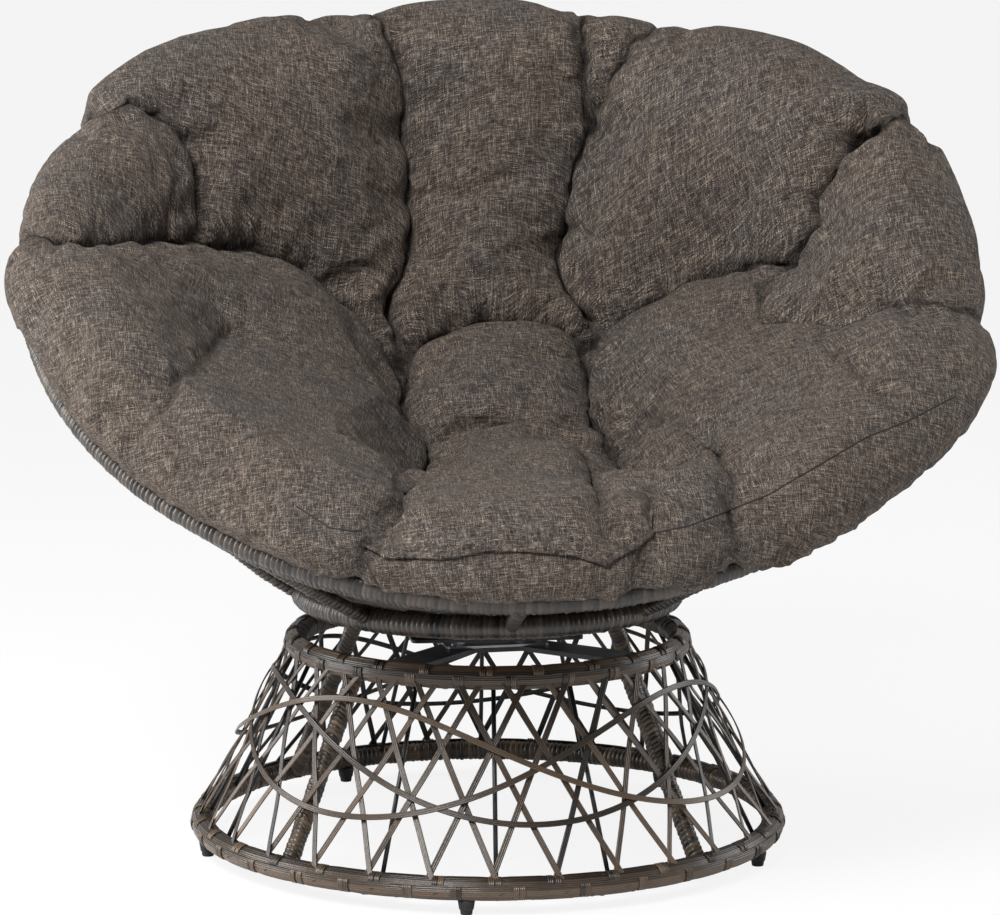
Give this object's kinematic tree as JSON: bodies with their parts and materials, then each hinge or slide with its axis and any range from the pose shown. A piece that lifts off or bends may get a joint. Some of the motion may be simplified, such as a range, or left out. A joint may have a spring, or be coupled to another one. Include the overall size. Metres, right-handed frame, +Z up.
{
  "type": "papasan chair",
  "caption": "Round bowl chair with a thick tufted cushion in a wrapped ring frame that swivels on an open conical base of woven strands.",
  "frame": {"origin": "on the floor under the swivel axis", "axes": "+Z up along the swivel axis, the seat faces -Y, +X to the right as seen from the front"},
  "size_m": [1.096, 0.938, 0.9305],
  "materials": {
    "wicker": "semi-gloss dark brown flat resin wicker",
    "black_steel": "satin black powder coat",
    "zinc_steel": "zinc plated",
    "foot_rubber": "matte black",
    "cushion_fabric": "heathered brown-grey woven tweed"
  },
  "bodies": {
    "base": {"base_ring": "wicker", "upper_base_ring": "wicker", "lower_ring_braid": "wicker", "upper_ring_braid": "wicker", "leg_1": "wicker", "leg_2": "wicker", "leg_3": "wicker", "leg_4": "wicker", "rod_1": "black_steel", "rod_2": "black_steel", "rod_3": "black_steel", "rod_4": "black_steel", "rod_5": "black_steel", "rod_6": "black_steel", "rod_7": "black_steel", "rod_8": "black_steel", "rod_9": "black_steel", "rod_10": "black_steel", "rod_11": "black_steel", "rod_12": "black_steel", "foot_1": "foot_rubber", "foot_2": "foot_rubber", "foot_3": "foot_rubber", "foot_4": "foot_rubber", "foot_5": "foot_rubber", "lace_1": "wicker", "lace_2": "wicker", "wave_strand_1": "wicker", "wave_strand_2": "wicker", "wave_strand_3": "wicker", "lower_cross": "black_steel", "bearing_lower_plate": "zinc_steel", "pivot_rivet": "zinc_steel", "lower_bolt_1": "zinc_steel", "lower_bolt_2": "zinc_steel", "lower_bolt_3": "zinc_steel", "lower_bolt_4": "zinc_steel"},
    "ball_race": {"ball_cage": "zinc_steel"},
    "seat": {"bearing_upper_plate": "zinc_steel", "upper_cross": "black_steel", "upper_bolt_1": "zinc_steel", "upper_bolt_2": "zinc_steel", "upper_bolt_3": "zinc_steel", "upper_bolt_4": "zinc_steel", "swivel_ring": "wicker", "rim_ring": "wicker", "bowl_hoop": "wicker", "rib_1": "wicker", "rib_2": "wicker", "rib_3": "wicker", "rib_4": "wicker", "rib_5": "wicker", "rib_6": "wicker", "rib_7": "wicker", "rib_8": "wicker"},
    "cushion_body": {"cushion": "cushion_fabric"}
  },
  "joints": [
    {"name": "seat_swivel", "type": "hinge", "parent": "base", "child": "seat", "pos_m": [0, 0, 0.238], "axis": [0, 0, 1], "continuous": true},
    {"name": "ball_cage_turn", "type": "hinge", "parent": "base", "child": "ball_race", "pos_m": [0, 0, 0.238], "axis": [0, 0, 1], "continuous": true},
    {"name": "cushion_lift", "type": "slide", "parent": "seat", "child": "cushion_body", "axis": [0, -0.5344, 0.8453], "range_m": [0, 0.45]}
  ],
  "couplings": [
    {"joint": "ball_cage_turn", "follows": "seat_swivel", "ratio": 0.5}
  ]
}
